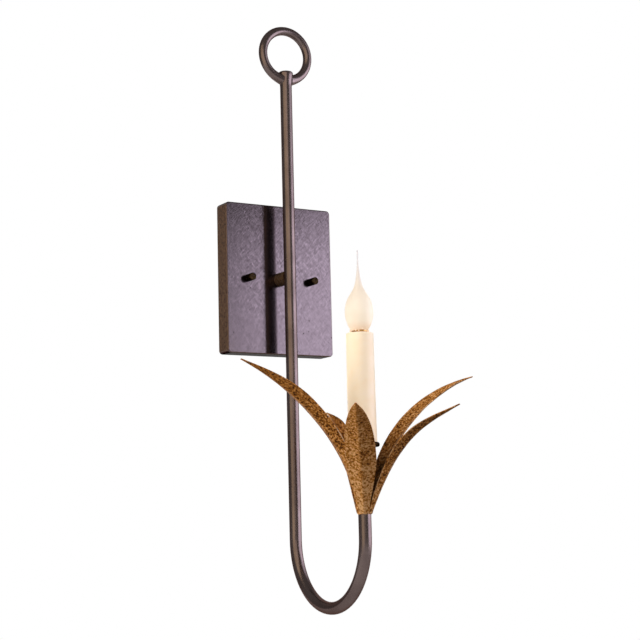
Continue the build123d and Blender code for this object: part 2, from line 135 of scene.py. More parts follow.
def calc(tree, operation, *values):
    """One Math node on one to three values or sockets."""
    return add(tree, "ShaderNodeMath", dict(enumerate(values)), operation=operation)[0]


def calc_vector(tree, operation, *values):
    """One Vector Math node on vectors or sockets."""
    return add(tree, "ShaderNodeVectorMath", dict(enumerate(values)), operation=operation)[0]


def mapped(tree, value, start, end, low=0.0, high=1.0, **options):
    """Map a value from one range onto another and stop at its ends."""
    inputs = {"Value": value, "From Min": start, "From Max": end, "To Min": low, "To Max": high}
    return add(tree, "ShaderNodeMapRange", inputs, **options)["Result"]


def mix(tree, factor, first, second):
    """Mix two numbers."""
    return add(tree, "ShaderNodeMix", {"Factor": factor, "A": first, "B": second})["Result"]


def mix_colours(tree, factor, first, second):
    """Mix two colours."""
    return add(tree, "ShaderNodeMix", {0: factor, 6: first, 7: second}, data_type="RGBA")[2]


print("node helpers:", [f.__name__ for f in (feed, add, calc, calc_vector, mapped, mix, mix_colours)])

# %% [markdown]
# ## The studio's white
# Satin metal shows its surroundings, so they matter as much as the colours. The world is white where the
# camera looks, and for reflections it is white only behind the object, as in a dark studio with a white
# backdrop. What it adds to the light on the surfaces is small, so that the lamps shape them.

# %% World
BACKDROP_EDGE, BACKDROP_FULL = 0.62, 0.86
ROOM_GREY, AMBIENT = 0.25, 0.1
WHITE = (1, 1, 1, 1)
world = bpy.data.worlds.new("studio")
scene.world = world
world.use_nodes = True
sky = world.node_tree
sky.nodes.clear()
ray = add(sky, "ShaderNodeLightPath")
toward = add(sky, "ShaderNodeTexCoord")["Generated"]
facing = add(sky, "ShaderNodeVectorMath", {0: toward, 1: -back}, operation="DOT_PRODUCT")["Value"]
backdrop = mapped(sky, facing, BACKDROP_EDGE, BACKDROP_FULL, ROOM_GREY, 1.0)
mirror_ray = calc(sky, "MAXIMUM", ray["Is Glossy Ray"], ray["Is Transmission Ray"])
dim = mix(sky, mirror_ray, AMBIENT, backdrop)
glow = mix(sky, ray["Is Camera Ray"], dim, 1.0)
surface = add(sky, "ShaderNodeBackground", {"Color": WHITE, "Strength": glow})[0]
add(sky, "ShaderNodeOutputWorld", {"Surface": surface})
print("world:", len(sky.nodes), "nodes")

# %% [markdown]
# ## Panels and lamps
# Panels stand where the metal mirrors them. A warm one at the left, a pale one near the camera and a cool
# one at the right become stripes on a round tube, and the flat backplate mirrors the cool one and another
# that hangs above it. Lamps from the left, from above, from the right and from behind light the leaves
# and the candle. Each light does only one of these two jobs, so each can be set by itself.

# %% Light panels and lamps
OBJECT_MIDDLE = Vector((0.0, -0.09, -0.05))
LIGHT_DISTANCE = 1.6
LAMP_SIZE = (0.9, 0.9)
PANEL, LAMP = True, False


def studio_light(name, azimuth, rise, size, level, colour, mirrored):
    """A soft rectangular light that faces the object from a compass angle and a rise, in degrees.

    A panel that is mirrored in the metal has its own brightness as level. A lamp that lights the
    surfaces has as level what it adds to a white surface that faces it.
    """
    turn, tilt = radians(azimuth), radians(rise)
    out = Vector((cos(turn) * cos(tilt), sin(turn) * cos(tilt), sin(tilt)))
    data = bpy.data.lights.new(name, "AREA")
    data.shape = "RECTANGLE"
    data.size, data.size_y = size
    data.energy = level * pi * (size[0] * size[1] if mirrored else pi * LIGHT_DISTANCE**2)
    data.color = colour
    light = bpy.data.objects.new(name, data)
    light.location = OBJECT_MIDDLE + out * LIGHT_DISTANCE
    light.rotation_euler = out.to_track_quat("Z", "Y").to_euler()
    light.visible_diffuse = not mirrored
    light.visible_glossy = mirrored
    scene.collection.objects.link(light)


studio_light("warm_panel", -156, 14, (1.4, 1.8), 1.25, (1.0, 0.85, 0.56), PANEL)
studio_light("front_panel", -118, 14.5, (0.8, 1.0), 1.4, (1.0, 0.86, 0.7), PANEL)
studio_light("cool_panel", -27.5, 0.5, (2.3, 1.02), 3.7, (0.83, 0.83, 1.0), PANEL)
studio_light("high_panel", -20, 28, (1.5, 0.65), 2.0, (0.79, 0.83, 1.0), PANEL)
studio_light("left_lamp", 168, -12, LAMP_SIZE, 1.06, (1.0, 0.92, 0.84), LAMP)
studio_light("top_lamp", -160, 46, LAMP_SIZE, 0.45, (1.0, 0.94, 0.84), LAMP)
studio_light("right_lamp", -72, 33, LAMP_SIZE, 0.6, (1.0, 0.92, 0.92), LAMP)
studio_light("back_lamp", 60, 35, LAMP_SIZE, 0.32, (1.0, 0.95, 0.9), LAMP)

# %% [markdown]
# ## The floor
# The sconce hangs on a wall, but a wall would hide its back, so only a pale floor lies well below it.
# Part of its white is its own and part is lit, so that it keeps a soft shadow, and away from the object
# it fades to the white of the backdrop. The light that it throws back on the object is a dim brown.

# %% Floor
FLOOR_DROP, FLOOR_HALF, FLOOR_LIT = 0.22, 1.9, 0.5
FADE_START, FADE_END = 0.35, 1.4
PAPER_LIT, PAPER_BOUNCE = (0.85, 0.85, 0.85, 1), (0.26, 0.22, 0.18, 1)
floor_z = cad_box[0][2] - FLOOR_DROP
corner_signs = ((-1, -1), (1, -1), (1, 1), (-1, 1))
floor_corners = [(x * FLOOR_HALF, y * FLOOR_HALF, floor_z) for x, y in corner_signs]
floor_mesh = bpy.data.meshes.new("floor")
floor_mesh.from_pydata(floor_corners, [], [(0, 1, 2, 3)])
floor = bpy.data.objects.new("floor", floor_mesh)
scene.collection.objects.link(floor)
paper = bpy.data.materials.new("floor_paper")
paper.use_nodes = True
tree = paper.node_tree
tree.nodes.clear()
bounce = add(tree, "ShaderNodeBsdfDiffuse", {"Color": PAPER_BOUNCE})[0]
lit = add(tree, "ShaderNodeBsdfDiffuse", {"Color": PAPER_LIT})[0]
own = add(tree, "ShaderNodeEmission", {"Color": WHITE, "Strength": 1.0})[0]
on_floor = add(tree, "ShaderNodeTexCoord")["Object"]
level_part = calc_vector(tree, "MULTIPLY", on_floor, (1, 1, 0))
from_middle = add(tree, "ShaderNodeVectorMath", {0: level_part}, operation="LENGTH")["Value"]
share = mapped(tree, from_middle, FADE_START, FADE_END, FLOOR_LIT, 0.0, interpolation_type="SMOOTHSTEP")
shown = add(tree, "ShaderNodeMixShader", {0: share, 1: own, 2: lit})[0]
seen = add(tree, "ShaderNodeLightPath")
looked_at = calc(tree, "MAXIMUM", seen["Is Camera Ray"], seen["Is Transmission Ray"])
looked_at = calc(tree, "MAXIMUM", looked_at, seen["Is Glossy Ray"])
whole_floor = add(tree, "ShaderNodeMixShader", {0: looked_at, 1: bounce, 2: shown})[0]
add(tree, "ShaderNodeOutputMaterial", {"Surface": whole_floor})
floor_mesh.materials.append(paper)
floor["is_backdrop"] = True
print("floor at z", round(floor_z, 3))

# %% [markdown]
# ## Finishes
# Each finish is a Principled shader whose colour, roughness and bump come from noise at the scale of
# the real surface. A small helper makes the shader and its object coordinates, and each finish then
# says only what is its own. Noise rarely reaches 0 or 1, so its usual range is what gets spread.

# %% Helpers for finishes
NOISE_LOW, NOISE_MEAN, NOISE_HIGH = 0.3, 0.5, 0.7


def shader_of(material):
    """The Principled shader of a material."""
    return material.node_tree.nodes["Principled BSDF"]


def new_finish(name):
    """A material with a Principled shader; returns the material, its tree, the shader and the place."""
    material = bpy.data.materials.new(name)
    material.use_nodes = True
    tree = material.node_tree
    return material, tree, shader_of(material), add(tree, "ShaderNodeTexCoord")["Object"]


def noise(tree, spot, size, detail=4, rough=0.55):
    """Noise whose lumps are about the given size in metres."""
    inputs = {"Vector": spot, "Scale": 1 / size, "Detail": detail, "Roughness": rough}
    return add(tree, "ShaderNodeTexNoise", inputs)["Fac"]


def height_of(tree, spot):
    """The height of a place."""
    return add(tree, "ShaderNodeSeparateXYZ", {0: spot})["Z"]


def attribute(tree, name):
    """A number that a piece's mesh stores at its points."""
    return add(tree, "ShaderNodeAttribute", attribute_name=name)["Fac"]


def ramp_of(tree, factor, stops):
    """A colour ramp through any number of (place, colour) stops."""
    ramp = tree.nodes.new("ShaderNodeValToRGB")
    elements = ramp.color_ramp.elements
    while len(elements) < len(stops):
        elements.new(0.5)
    for element, (place, colour) in zip(elements, stops):
        element.position = place
        element.color = (*colour, 1)
    tree.links.new(factor, ramp.inputs["Fac"])
    return ramp.outputs["Color"]


def blend_colours(tree, factor, low, high, stops=(0.35, 0.65)):
    """A colour ramp between two colours."""
    return ramp_of(tree, factor, tuple(zip(stops, (low, high))))


def spread(tree, value, low, high):
    """Map the usual range of a noise onto another range."""
    return mapped(tree, value, NOISE_LOW, NOISE_HIGH, low, high)


def raise_bumps(tree, shader, height, depth, strength):
    """Let a height map, scaled to a depth in metres, bend the shader's normal."""
    inputs = {"Height": height, "Distance": depth, "Strength": strength}
    feed(tree, shader, {"Normal": add(tree, "ShaderNodeBump", inputs)["Normal"]})


def paint(node_names, material):
    """Give CAD nodes a finish through their material slots."""
    for name in node_names:
        for slot in nodes[name].material_slots:
            slot.material = material
    print(material.name, "on", len(node_names), "CAD nodes")


print("finishes: noise from", NOISE_LOW, "to", NOISE_HIGH, "is spread over each range")

# %% [markdown]
# ## Dark bronze
# The plate, the arm and the ring have a brown-black patina on metal, rubbed to a satin sheen. The nuts
# and the cup are darker and the boss is browner. The colour hardly changes, and it is the gloss that
# varies: clouds and fine scratches in the roughness break up the reflections. On the plate the scratches
# come in patches and fade downwards. The dark specks are small cells of a Voronoi pattern.

# %% Bronze finishes
SCRATCH_LEANS = (42, -35)
BRONZE_STOPS, BRONZE_RELIEF = (0.36, 0.64), 0.0002
SPECK_BLACK = (0.02, 0.015, 0.014, 1)
PATCH_SIZE, PATCH_RANGE, FADED = 0.025, (0.65, 1.25), 0.5


def scratches(tree, spot, lean, thickness, length):
    """Fine streaks: noise stretched along one direction, turned by a lean about the wall's normal."""
    turned_spot = add(tree, "ShaderNodeMapping", {
        "Vector": spot, "Rotation": (0, radians(lean), 0), "Scale": (thickness, thickness, length),
    }, vector_type="TEXTURE")[0]
    return add(tree, "ShaderNodeTexNoise", {"Vector": turned_spot, "Scale": 1.0, "Detail": 2.0})["Fac"]


def specks(tree, spot, spacing, radius):
    """A mask of round specks, about one to a cell and each of its own size."""
    cells = add(tree, "ShaderNodeTexVoronoi", {"Vector": spot, "Scale": 1 / spacing})
    chance = add(tree, "ShaderNodeSeparateColor", {0: cells["Color"]})[0]
    reach = calc(tree, "MULTIPLY", chance, radius / spacing)
    return calc(tree, "LESS_THAN", cells["Distance"], reach)


def bronze(
    name, dark, light, cloud_size, rough, wear, speck_spacing, speck_radius, bump,
    streak=(0.0004, 0.005), fade=None, metallic=0.95, edge_tint=(0.06, 0.045, 0.035, 1),
):
    """Satin bronze; returns the material and its colour.

    rough is the range of roughness, wear how much the scratches count, and streak their thickness and
    length. Where two heights are given as fade, the scratches are fainter towards the lower one.
    """
    material, tree, shader, spot = new_finish(name)
    clouds = noise(tree, spot, cloud_size, detail=5)
    crossed = (scratches(tree, spot, lean, *streak) for lean in SCRATCH_LEANS)
    streaks = calc(tree, "MULTIPLY", calc(tree, "ADD", *crossed), 0.5)
    worn = calc(tree, "MULTIPLY_ADD", streaks, wear, calc(tree, "MULTIPLY", clouds, 1 - wear))
    if fade:
        by_height = mapped(tree, height_of(tree, spot), *fade, FADED, 1.0)
        by_patch = spread(tree, noise(tree, spot, PATCH_SIZE), *PATCH_RANGE)
        worn = mix(tree, calc(tree, "MULTIPLY", by_height, by_patch), NOISE_MEAN, worn)
    colour = blend_colours(tree, worn, dark, light, BRONZE_STOPS)
    spotted = mix_colours(tree, specks(tree, spot, speck_spacing, speck_radius), colour, SPECK_BLACK)
    feed(tree, shader, {"Base Color": spotted, "Roughness": spread(tree, worn, *rough)})
    feed(tree, shader, {"Metallic": metallic, "Specular Tint": edge_tint})
    raise_bumps(tree, shader, worn, BRONZE_RELIEF, bump)
    return material, spotted


plate_bronze, plate_colour = bronze(
    "plate_bronze", dark=(0.078, 0.06, 0.064), light=(0.166, 0.132, 0.142), cloud_size=0.0035,
    rough=(0.26, 0.1), wear=0.75, speck_spacing=0.007, speck_radius=0.0008, bump=0.5,
    streak=(0.0009, 0.006), fade=(-0.06, 0.06),
)
arm_bronze = bronze(
    "arm_bronze", dark=(0.117, 0.086, 0.081), light=(0.161, 0.121, 0.115), cloud_size=0.03,
    rough=(0.29, 0.22), wear=0.1, speck_spacing=0.014, speck_radius=0.0004, bump=0.04,
    edge_tint=(0.4, 0.33, 0.31, 1),
)[0]
nut_bronze = bronze(
    "nut_bronze", dark=(0.005, 0.003, 0.002), light=(0.055, 0.034, 0.014), cloud_size=0.0018,
    rough=(0.42, 0.24), wear=0.3, speck_spacing=0.003, speck_radius=0.001, bump=0.6,
)[0]
boss_bronze = bronze(
    "boss_bronze", dark=(0.045, 0.026, 0.014), light=(0.19, 0.115, 0.06), cloud_size=0.0025,
    rough=(0.34, 0.2), wear=0.3, speck_spacing=0.003, speck_radius=0.0008, bump=0.4, metallic=0.55,
)[0]
print("bronze:", [m.name for m in (plate_bronze, arm_bronze, nut_bronze, boss_bronze)])

# %% [markdown]
# Near its edges the plate takes a brown colour, which is painted shade: it stands in for the shaded wall
# that the plate's sides and underside would mirror. A second colour takes over from a line just inside
# the edge, and the narrow left and right sides are duller. The place on the plate decides, not the view.

# %% Painted shade at the plate's edges
EDGE_BAND = 0.0012
RIM_SHADE_DARK, RIM_SHADE_PALE, RIM_GRAIN = (0.07, 0.04, 0.026), (0.14, 0.083, 0.05), 0.003
FACE_METALLIC, SIDE_METALLIC = 1.0, 0.4
plate_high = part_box("backplate")[1]
tree, shader = plate_bronze.node_tree, shader_of(plate_bronze)
spot = add(tree, "ShaderNodeTexCoord")["Object"]
reach = add(tree, "ShaderNodeSeparateXYZ", {0: calc_vector(tree, "ABSOLUTE", spot)})
past_side = calc(tree, "SUBTRACT", reach["X"], plate_high[0] - EDGE_BAND)
past_top = calc(tree, "SUBTRACT", reach["Z"], plate_high[2] - EDGE_BAND)
rim = mapped(tree, calc(tree, "MAXIMUM", past_side, past_top), 0.0, EDGE_BAND)
# painted shade: a brown band along the edges, for the shaded wall that they would mirror
rim_painted_shade = blend_colours(tree, noise(tree, spot, RIM_GRAIN, rough=0.65), RIM_SHADE_DARK, RIM_SHADE_PALE)
shade_painted_plate = mix_colours(tree, rim, plate_colour, rim_painted_shade)
on_side = calc(tree, "GREATER_THAN", past_side, EDGE_BAND / 2)
metal_share = calc(tree, "MULTIPLY_ADD", on_side, SIDE_METALLIC - FACE_METALLIC, FACE_METALLIC)
feed(tree, shader, {"Base Color": shade_painted_plate, "Metallic": metal_share})
paint(["backplate"], plate_bronze)
paint(["arm_tube", "arm_top_plug", "top_ring"], arm_bronze)
paint(["candle_cup", "left_cap_nut", "right_cap_nut"], nut_bronze)
paint(["arm_boss"], boss_bronze)

# %% [markdown]
# ## Leaf bronze
# The leaves are brushed with a gold-brown paint that broke into blots and specks as it dried. Two noises,
# one coarse and one fine, are added before one ramp turns them into colour, so that small specks crowd
# together in large blots. They are calmer towards the tip and brighter at the brazed foot. Painted shade
# darkens the inside low down, where the leaves and the cup shade it, and a painted highlight makes the
# edges paler gold in places, where the edge of the sheet catches the light. The tree that makes the leaves
# stores what this needs at each point: how far along and across the leaf it lies, on which face, and a
# tone, which is partly painted shade.

# %% Leaf finish
LEAF_STOPS = (
    (0.385, (0.06, 0.02, 0.004)), (0.465, (0.33, 0.13, 0.023)),
    (0.545, (0.55, 0.25, 0.065)), (0.63, (0.82, 0.5, 0.24)),
)
BLOT_SIZE, SPECK_SIZE, SPECK_SHARE = 0.007, 0.0021, 0.75
CALM_STRETCH, CALM_CONTRAST = (0.45, 0.95), 0.55
BRAZED_STRETCH, BRAZED_LIFT = (0.06, 0.3), 0.045
# a painted highlight on the edges, and painted shade low on the inside
EDGE_HIGHLIGHT_BAND, EDGE_HIGHLIGHT_SIZE, EDGE_HIGHLIGHT_PATCHES = (0.95, 0.995), 0.02, (-0.7, 0.9)
INNER_SHADE_STRETCH, INNER_SHADE_PATCHES = (0.2, 0.42), (0.5, 1.0)
EDGE_HIGHLIGHT_GOLD, INNER_SHADE_BROWN = (0.66, 0.44, 0.26, 1), (0.03, 0.012, 0.004, 1)
LEAF_ROUGH, LEAF_METALLIC, LEAF_SPECULAR = (0.62, 0.42), 0.04, 0.04
LEAF_RELIEF, LEAF_BUMP = 0.0008, 0.5


def leaf_finish():
    """Gold-brown paint in blots over sheet metal, with painted highlights on the edges and painted shade
    low inside.
    """
    material, tree, shader, spot = new_finish("leaf_gold")
    coarse = noise(tree, spot, BLOT_SIZE, rough=0.6)
    fine = noise(tree, spot, SPECK_SIZE, detail=2, rough=0.6)
    along = attribute(tree, "leaf_along")
    blots = calc(tree, "MULTIPLY", coarse, 1 - SPECK_SHARE)
    contrast = mapped(tree, along, *CALM_STRETCH, 1.0, CALM_CONTRAST)
    mottle = mix(tree, contrast, NOISE_MEAN, calc(tree, "MULTIPLY_ADD", fine, SPECK_SHARE, blots))
    brazed = mapped(tree, along, *BRAZED_STRETCH, BRAZED_LIFT, 0.0)
    # each leaf's tone, which is partly painted shade: lower on shaded leaves, higher on the lit front leaf
    toned = calc(tree, "ADD", calc(tree, "ADD", mottle, brazed), attribute(tree, "leaf_tone"))
    gold = ramp_of(tree, toned, LEAF_STOPS)
    # painted highlight: paler gold in patches along the edges, where the edge of the sheet catches the
    # light
    at_edge = mapped(tree, calc(tree, "ABSOLUTE", attribute(tree, "leaf_side")), *EDGE_HIGHLIGHT_BAND)
    patches = spread(tree, noise(tree, spot, EDGE_HIGHLIGHT_SIZE), *EDGE_HIGHLIGHT_PATCHES)
    edge_highlighted = mix_colours(tree, calc(tree, "MULTIPLY", at_edge, patches), gold, EDGE_HIGHLIGHT_GOLD)
    # painted shade: darker low on the inside, where the leaves and the cup shade it
    low = mapped(tree, along, *INNER_SHADE_STRETCH, 1.0, 0.0)
    low_inside = calc(tree, "MULTIPLY", attribute(tree, "leaf_inside"), low)
    inner_shade = calc(tree, "MULTIPLY", low_inside, spread(tree, coarse, *INNER_SHADE_PATCHES))
    colour = mix_colours(tree, inner_shade, edge_highlighted, INNER_SHADE_BROWN)
    feed(tree, shader, {"Base Color": colour, "Roughness": spread(tree, fine, *LEAF_ROUGH)})
    feed(tree, shader, {"Metallic": LEAF_METALLIC, "Specular IOR Level": LEAF_SPECULAR})
    raise_bumps(tree, shader, mottle, LEAF_RELIEF, LEAF_BUMP)
    return material


leaf_gold = leaf_finish()
print(leaf_gold.name, "has", len(leaf_gold.node_tree.nodes), "nodes")

# %% [markdown]
# ## Wax and silicone
# The sleeve is cream resin made to look like wax. It has a faint glow of its own, which is painted light
# that lifts its shaded side. The bulb is dipped in silicone, which scatters its own light: brightest round
# the filament, peach at the foot and hardly lit in the drawn tip. A ramp over the height of the coat sets
# the bulb's glow.

# %% Pale finishes
CLOUD_RELIEF = 0.0004
WAX_PAINTED_GLOW, WAX_PAINTED_GLOW_COLOUR = 0.2, (1.0, 0.83, 0.62, 1)
GLOW_STOPS = (
    (0.0, (0.58, 0.41, 0.27)), (0.1, (0.65, 0.545, 0.415)), (0.25, (0.6, 0.53, 0.42)),
    (0.5, (0.5, 0.43, 0.34)), (0.9, (0.42, 0.43, 0.48)),
)


def cloudy(name, low, high, rough, size, bump=0.3):
    """A finish of two near colours in soft clouds of a size, with a range of roughness."""
    material, tree, shader, spot = new_finish(name)
    clouds = noise(tree, spot, size)
    colour = blend_colours(tree, clouds, low, high)
    feed(tree, shader, {"Base Color": colour, "Roughness": spread(tree, clouds, *rough)})
    raise_bumps(tree, shader, clouds, CLOUD_RELIEF, bump)
    return material


candle_wax = cloudy("candle_wax", (0.95, 0.8, 0.58), (0.97, 0.84, 0.65), (0.5, 0.38), 0.012)
# painted light: the sleeve glows faintly by itself, which lifts its shaded side
wax_painted_light = {"Emission Color": WAX_PAINTED_GLOW_COLOUR, "Emission Strength": WAX_PAINTED_GLOW}
feed(candle_wax.node_tree, shader_of(candle_wax), wax_painted_light)
silicone_dip = cloudy("silicone_dip", (0.4, 0.35, 0.3), (0.44, 0.39, 0.34), (0.42, 0.32), 0.015)
BULB_FOOT_Z, BULB_TIP_Z = (corner[2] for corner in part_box("bulb_coat"))
tree, shader = silicone_dip.node_tree, shader_of(silicone_dip)
spot = add(tree, "ShaderNodeTexCoord")["Object"]
climbed = mapped(tree, height_of(tree, spot), BULB_FOOT_Z, BULB_TIP_Z)
feed(tree, shader, {"Emission Color": ramp_of(tree, climbed, GLOW_STOPS), "Emission Strength": 1.0})
print(f"the bulb's glow runs from z {BULB_FOOT_Z:.4f} to {BULB_TIP_Z:.4f}")

# %% [markdown]
# ## The parts inside
# Zinc, brass, wire covers and the socket show only from behind or when the sleeve is lifted. Two short
# functions give them plain finishes with a little wear.

# %% Finishes of the parts inside
GLASS_IOR = 1.5


def metal(name, low, high, rough, size=0.004):
    """Plain metal with a little wear."""
    material = cloudy(name, low, high, rough, size)
    feed(material.node_tree, shader_of(material), {"Metallic": 1.0})
    return material


zinc = metal("zinc_plate", (0.42, 0.42, 0.4), (0.62, 0.62, 0.6), (0.45, 0.3))
brass = metal("old_brass", (0.5, 0.25, 0.07), (0.75, 0.46, 0.17), (0.42, 0.26))
tin = metal("soldered_tin", (0.5, 0.5, 0.48), (0.7, 0.7, 0.68), (0.5, 0.3), 0.002)
tungsten = metal("tungsten_wire", (0.3, 0.27, 0.22), (0.5, 0.45, 0.38), (0.5, 0.35), 0.002)
green = metal("green_dye", (0.03, 0.2, 0.07), (0.06, 0.34, 0.13), (0.5, 0.35), 0.002)
resin = cloudy("dark_resin", (0.03, 0.026, 0.024), (0.07, 0.06, 0.055), (0.5, 0.35), 0.006)
enamel = cloudy("black_enamel", (0.015, 0.015, 0.015), (0.04, 0.04, 0.045), (0.22, 0.12), 0.004, 0.1)
black_cover = cloudy("black_cover", (0.02, 0.02, 0.02), (0.045, 0.045, 0.045), (0.55, 0.42), 0.003)
white_cover = cloudy("white_cover", (0.78, 0.77, 0.73), (0.86, 0.85, 0.82), (0.55, 0.42), 0.003)
orange_cap = cloudy("orange_cap", (0.72, 0.26, 0.05), (0.85, 0.36, 0.08), (0.5, 0.38), 0.004)
glass = cloudy("clear_glass", (0.92, 0.94, 0.94), (0.97, 0.98, 0.98), (0.06, 0.03), 0.01, 0.02)
feed(glass.node_tree, shader_of(glass), {"Transmission Weight": 1.0, "IOR": GLASS_IOR})
INSIDE = {
    zinc: ("mounting_bracket", "mounting_studs", "stud_lock_nuts", "boss_nipple", "boss_lock_washer",
           "candle_nipple", "socket_bracket", "socket_rivet"),
    brass: ("boss_lock_nut", "socket_shell", "socket_contact"),
    tin: ("bulb_contact",), tungsten: ("bulb_filament",), green: ("ground_screw",), resin: ("socket_body",),
    enamel: ("bulb_insulator",), glass: ("bulb_glass", "bulb_stem"), black_cover: ("hot_lead",),
    white_cover: ("neutral_lead",), orange_cap: ("wire_connectors",),
}
for material, names in INSIDE.items():
    paint(names, material)

# %% [markdown]
# ## Making pieces
# A new piece is a mesh object at the origin with its place in its vertices, as the CAD nodes are. The
# helpers make the object, run a tree on it, turn the result into a plain mesh, set the piece on the body
# that it rides on and hide the CAD node that it stands for.

# %% Helpers for pieces
def new_piece(name, mesh=None):
    """An object at the origin that shows a mesh, or an empty one for a geometry tree to fill."""
    piece = bpy.data.objects.new(name, mesh or bpy.data.meshes.new(name))
    scene.collection.objects.link(piece)
    return piece


def run_tree(piece, tree, **inputs):
    """Add a geometry tree to a piece and set its inputs by the sockets' identifiers."""
    modifier = piece.modifiers.new(tree.name, "NODES")
    modifier.node_group = tree
    for item in tree.interface.items_tree:
        key = item.name.lower().replace(" ", "_")
        if item.in_out == "INPUT" and key in inputs:
            modifier[item.identifier] = inputs[key]


def make_plain(piece, sharp=60):
    """Turn what the modifiers give into a plain mesh, smooth up to an angle, and remove them."""
    bpy.context.view_layer.update()
    graph = bpy.context.evaluated_depsgraph_get()
    mesh = bpy.data.meshes.new_from_object(piece.evaluated_get(graph))
    piece.modifiers.clear()
    piece.data = mesh
    mesh.shade_smooth()
    mesh.set_sharp_from_angle(angle=radians(sharp))


def set_in_frame(piece, body, node, slot):
    """The piece rides on a body and stands for a CAD node, which it hides. The slot is not used."""
    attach(piece, body)
    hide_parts(node)
    print(piece.name, "stands for", node, "with", len(piece.data.polygons), "faces")


print("piece helpers:", [f.__name__ for f in (new_piece, run_tree, make_plain, set_in_frame)])

# %% [markdown]
# ## Geometry trees
# A geometry tree starts with its named inputs and ends in the same way each time: real geometry with its
# finish set. Two short functions hold that, and three more scale vectors and make and join shapes.

# %% Helpers for geometry trees
KINDS = {int: "Int", float: "Float", tuple: "Vector"}


def tree_with(name, **sockets):
    """A new geometry tree with named inputs, each given by its first value or else by its kind."""
    tree = bpy.data.node_groups.new(name, "GeometryNodeTree")
    for key, value in sockets.items():
        title = key.replace("_", " ").title()
        kind = KINDS.get(type(value), value)
        socket = tree.interface.new_socket(title, in_out="INPUT", socket_type="NodeSocket" + kind)
        if type(value) in KINDS:
            socket.default_value = value
    tree.interface.new_socket("Mesh", in_out="OUTPUT", socket_type="NodeSocketGeometry")
    return tree, add(tree, "NodeGroupInput")


def end_tree(tree, mesh, material):
    """End a tree as every tree here ends: real geometry, with its finish set."""
    real = add(tree, "GeometryNodeRealizeInstances", {"Geometry": mesh})[0]
    done = add(tree, "GeometryNodeSetMaterial", {"Geometry": real, "Material": material})[0]
    add(tree, "NodeGroupOutput", {"Mesh": done})


def scaled(tree, vector, factor):
    """A vector times a number."""
    return add(tree, "ShaderNodeVectorMath", {0: vector, "Scale": factor}, operation="SCALE")[0]


def circle(tree, points, radius):
    """A circle as a curve of some points."""
    inputs = {"Resolution": points, "Radius": radius}
    return add(tree, "GeometryNodeCurvePrimitiveCircle", inputs)["Curve"]


def join(tree, first, second):
    """Two meshes as one."""
    joined = add(tree, "GeometryNodeJoinGeometry", {"Geometry": first})[0]
    tree.links.new(second, joined.node.inputs[0])
    return joined


print("tree helpers:", [f.__name__ for f in (tree_with, end_tree, scaled, circle, join)])

# %% [markdown]
# ## The leaves
# Each leaf is cut from sheet, creased along its middle and bent by hand. The six share one rule: a
# smooth curve from the foot to the tip, a width that swells and tapers as quarter waves, and a shallow
# V across. A flat grid in a geometry tree is moved to that rule, so one tree makes all six from a few
# named inputs. Its first part is the curve, with the direction that faces the candle.

# %% The leaf tree: its middle line
ACROSS = (0, 1, 0)
leaf_tree, given = tree_with(
    "bent_leaf", stations=73, strips=25, azimuth=0.0, centre="Vector", foot="Vector", foot_handle="Vector",
    tip_handle="Vector", tip="Vector", half_width=0.012, widest=0.5, foot_half_width=0.0042,
    tip_half_width=0.0007, taper=1.2, dish=0.35, crease=0.05, pinch=0.8, thickness=0.001, dents=0.0006,
    dent_size=0.012, seed=0.0, tone=0.0, material="Material",
)
tree = leaf_tree
sheet = add(tree, "GeometryNodeMeshGrid", {
    "Size X": 2.0, "Size Y": 1.0, "Vertices X": given["Strips"], "Vertices Y": given["Stations"],
})["Mesh"]
flat = add(tree, "ShaderNodeSeparateXYZ", {0: add(tree, "GeometryNodeInputPosition")[0]})
side = flat["X"]
# t runs from 0 at the foot to 1 at the tip, and u is the rest of the way
t = calc(tree, "ADD", flat["Y"], 0.5)
u = calc(tree, "SUBTRACT", 1.0, t)


def product(*factors):
    """A chain of Math nodes that multiplies all its factors."""
    total = factors[0]
    for factor in factors[1:]:
        total = calc(leaf_tree, "MULTIPLY", total, factor)
    return total


def total_of(terms):
    """A chain of Vector Math nodes that adds scaled vectors."""
    parts = [scaled(leaf_tree, vector, factor) for vector, factor in terms]
    total = parts[0]
    for part in parts[1:]:
        total = calc_vector(leaf_tree, "ADD", total, part)
    return total


handles = [given[name] for name in ("Foot", "Foot Handle", "Tip Handle", "Tip")]
weights = (product(u, u, u), product(u, u, t, 3.0), product(u, t, t, 3.0), product(t, t, t))
middle = total_of(zip(handles, weights))
legs = [calc_vector(tree, "SUBTRACT", b, a) for a, b in zip(handles, handles[1:])]
run = total_of(zip(legs, (product(u, u), product(u, t, 2.0), product(t, t))))
inward = calc_vector(tree, "NORMALIZE", calc_vector(tree, "CROSS_PRODUCT", run, ACROSS))
print("leaf tree:", len(tree.nodes), "nodes for the middle line")

# %% [markdown]
# The width, the crease and the dents come next. The crease is a little soft, as in bent sheet. The dents
# of the hammer are noise on a strip about as long as a leaf, with its own seed for each.

# %% The leaf tree: width, crease and dents
DENT_STRIP = 0.15
past_widest = calc(tree, "GREATER_THAN", t, given["Widest"])
end_half = mix(tree, past_widest, given["Foot Half Width"], given["Tip Half Width"])
rising = calc(tree, "DIVIDE", t, given["Widest"])
falling = calc(tree, "DIVIDE", u, calc(tree, "SUBTRACT", 1.0, given["Widest"]))
wave = calc(tree, "SINE", product(calc(tree, "MINIMUM", rising, falling), pi / 2))
swell = calc(tree, "POWER", wave, given["Taper"])
half = calc(tree, "MULTIPLY_ADD", swell, calc(tree, "SUBTRACT", given["Half Width"], end_half), end_half)
crease_squared = product(given["Crease"], given["Crease"])
rounded_side = calc(tree, "SQRT", calc(tree, "MULTIPLY_ADD", side, side, crease_squared))
pinched = calc(tree, "POWER", calc(tree, "SUBTRACT", rounded_side, given["Crease"]), given["Pinch"])
fold = product(pinched, half, calc(tree, "TANGENT", given["Dish"]))
